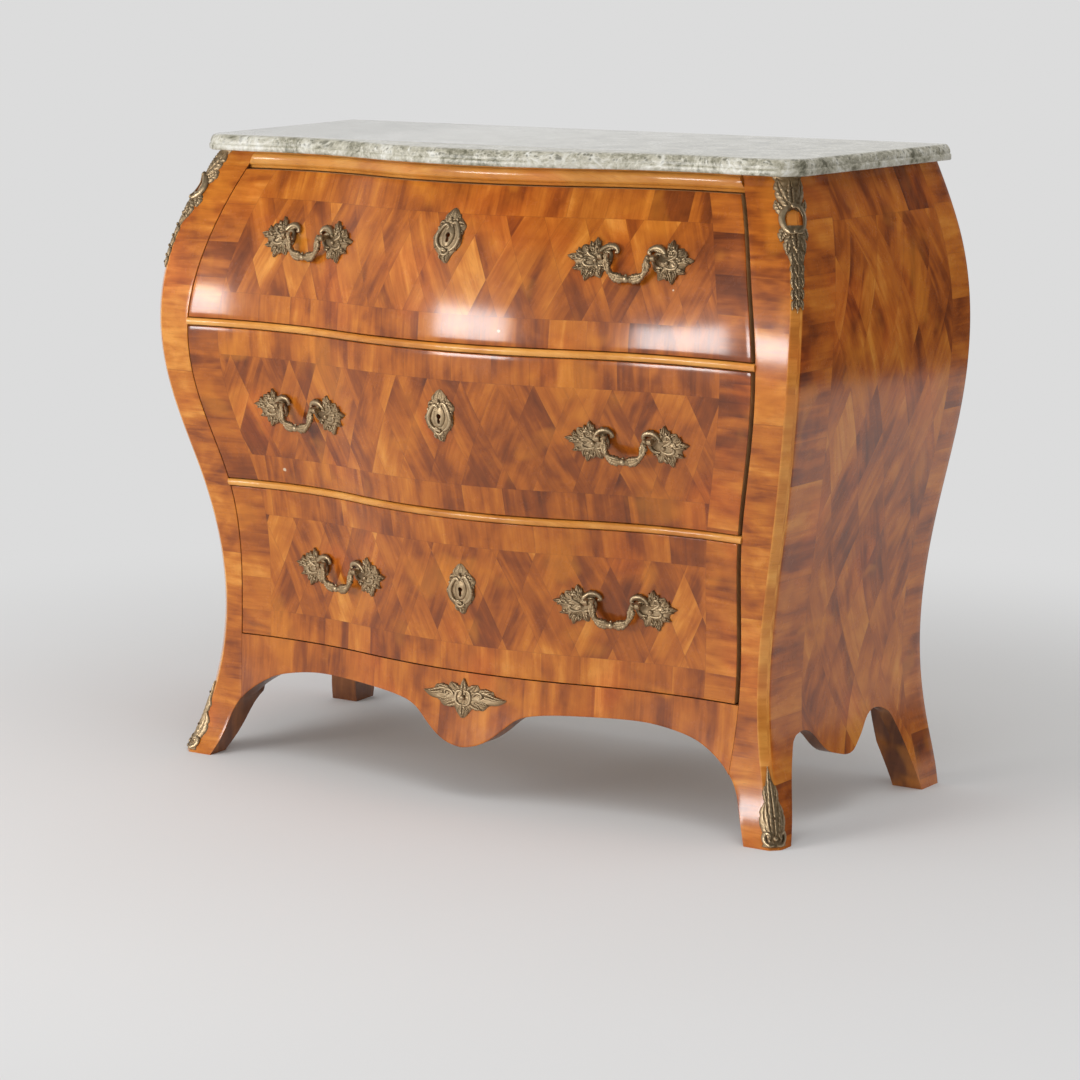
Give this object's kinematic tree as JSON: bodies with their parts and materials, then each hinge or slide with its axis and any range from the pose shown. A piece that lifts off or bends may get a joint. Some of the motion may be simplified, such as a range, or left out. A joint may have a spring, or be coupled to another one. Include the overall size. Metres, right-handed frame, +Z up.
{
  "type": "bombe chest",
  "caption": "Bombe chest of drawers with serpentine veneered drawers between curved posts, a stone slab on top, and cast bronze handles, escutcheons and corner mounts.",
  "frame": {"origin": "on the floor, under the middle of the whole box", "axes": "+X to the right seen from the front, +Y to the back, +Z up"},
  "size_m": [1.0044, 0.4559, 0.822],
  "materials": {
    "stone": "polished marble, opaque",
    "front_veneer": "gloss shellac on parquetry veneer",
    "side_veneer": "gloss shellac on parquetry veneer",
    "rail": "gloss shellac",
    "lining": "plain planed wood",
    "bronze": "old dull gilt bronze",
    "iron": "filed iron"
  },
  "bodies": {
    "carcass": {"marble_top": "stone", "subtop_board": "lining", "top_rail": "rail", "upper_divider_rail": "rail", "lower_divider_rail": "rail", "bottom_rail": "lining", "front_apron": "front_veneer", "front_left_post": "front_veneer", "front_right_post": "front_veneer", "back_left_post": "front_veneer", "back_right_post": "front_veneer", "left_side_panel": "side_veneer", "right_side_panel": "side_veneer", "back_panel": "lining", "upper_dust_board": "lining", "lower_dust_board": "lining", "bottom_board": "lining", "drawer_guides": "lining", "drawer_stops": "lining", "left_corner_mount": "bronze", "right_corner_mount": "bronze", "left_foot_mount": "bronze", "right_foot_mount": "bronze", "apron_mount": "bronze"},
    "upper_drawer": {"upper_front": "front_veneer", "upper_left_side": "lining", "upper_right_side": "lining", "upper_back": "lining", "upper_bottom": "lining", "upper_lock_case": "iron", "upper_escutcheon": "bronze", "upper_left_handle_plates": "bronze", "upper_right_handle_plates": "bronze"},
    "upper_lock_bolt": {"upper_lock_bolt": "iron"},
    "upper_left_bail": {"upper_left_bail": "bronze"},
    "upper_right_bail": {"upper_right_bail": "bronze"},
    "middle_drawer": {"middle_front": "front_veneer", "middle_left_side": "lining", "middle_right_side": "lining", "middle_back": "lining", "middle_bottom": "lining", "middle_lock_case": "iron", "middle_escutcheon": "bronze", "middle_left_handle_plates": "bronze", "middle_right_handle_plates": "bronze"},
    "middle_lock_bolt": {"middle_lock_bolt": "iron"},
    "middle_left_bail": {"middle_left_bail": "bronze"},
    "middle_right_bail": {"middle_right_bail": "bronze"},
    "lower_drawer": {"lower_front": "front_veneer", "lower_left_side": "lining", "lower_right_side": "lining", "lower_back": "lining", "lower_bottom": "lining", "lower_lock_case": "iron", "lower_escutcheon": "bronze", "lower_left_handle_plates": "bronze", "lower_right_handle_plates": "bronze"},
    "lower_lock_bolt": {"lower_lock_bolt": "iron"},
    "lower_left_bail": {"lower_left_bail": "bronze"},
    "lower_right_bail": {"lower_right_bail": "bronze"}
  },
  "joints": [
    {"name": "upper_drawer_slide", "type": "slide", "parent": "carcass", "child": "upper_drawer", "axis": [0, -1, 0], "range_m": [0, 0.28]},
    {"name": "upper_bolt_slide", "type": "slide", "parent": "upper_drawer", "child": "upper_lock_bolt", "axis": [0, 0, 1], "range_m": [0, 0.008]},
    {"name": "upper_left_bail_hinge", "type": "hinge", "parent": "upper_drawer", "child": "upper_left_bail", "pos_m": [-0.241, -0.17686, 0.702], "axis": [-0.988, 0.1545, 0], "range_deg": [0, 100]},
    {"name": "upper_right_bail_hinge", "type": "hinge", "parent": "upper_drawer", "child": "upper_right_bail", "pos_m": [0.241, -0.17686, 0.702], "axis": [-0.988, -0.1545, 0], "range_deg": [0, 100]},
    {"name": "middle_drawer_slide", "type": "slide", "parent": "carcass", "child": "middle_drawer", "axis": [0, -1, 0], "range_m": [0, 0.28]},
    {"name": "middle_bolt_slide", "type": "slide", "parent": "middle_drawer", "child": "middle_lock_bolt", "axis": [0, 0, 1], "range_m": [0, 0.008]},
    {"name": "middle_left_bail_hinge", "type": "hinge", "parent": "middle_drawer", "child": "middle_left_bail", "pos_m": [-0.246, -0.1898, 0.483], "axis": [-0.9897, 0.1431, 0], "range_deg": [0, 100]},
    {"name": "middle_right_bail_hinge", "type": "hinge", "parent": "middle_drawer", "child": "middle_right_bail", "pos_m": [0.246, -0.1898, 0.483], "axis": [-0.9897, -0.1431, 0], "range_deg": [0, 100]},
    {"name": "lower_drawer_slide", "type": "slide", "parent": "carcass", "child": "lower_drawer", "axis": [0, -1, 0], "range_m": [0, 0.28]},
    {"name": "lower_bolt_slide", "type": "slide", "parent": "lower_drawer", "child": "lower_lock_bolt", "axis": [0, 0, 1], "range_m": [0, 0.008]},
    {"name": "lower_left_bail_hinge", "type": "hinge", "parent": "lower_drawer", "child": "lower_left_bail", "pos_m": [-0.209, -0.15613, 0.272], "axis": [-0.9825, 0.1864, 0], "range_deg": [0, 100]},
    {"name": "lower_right_bail_hinge", "type": "hinge", "parent": "lower_drawer", "child": "lower_right_bail", "pos_m": [0.209, -0.15613, 0.272], "axis": [-0.9825, -0.1864, 0], "range_deg": [0, 100]}
  ]
}
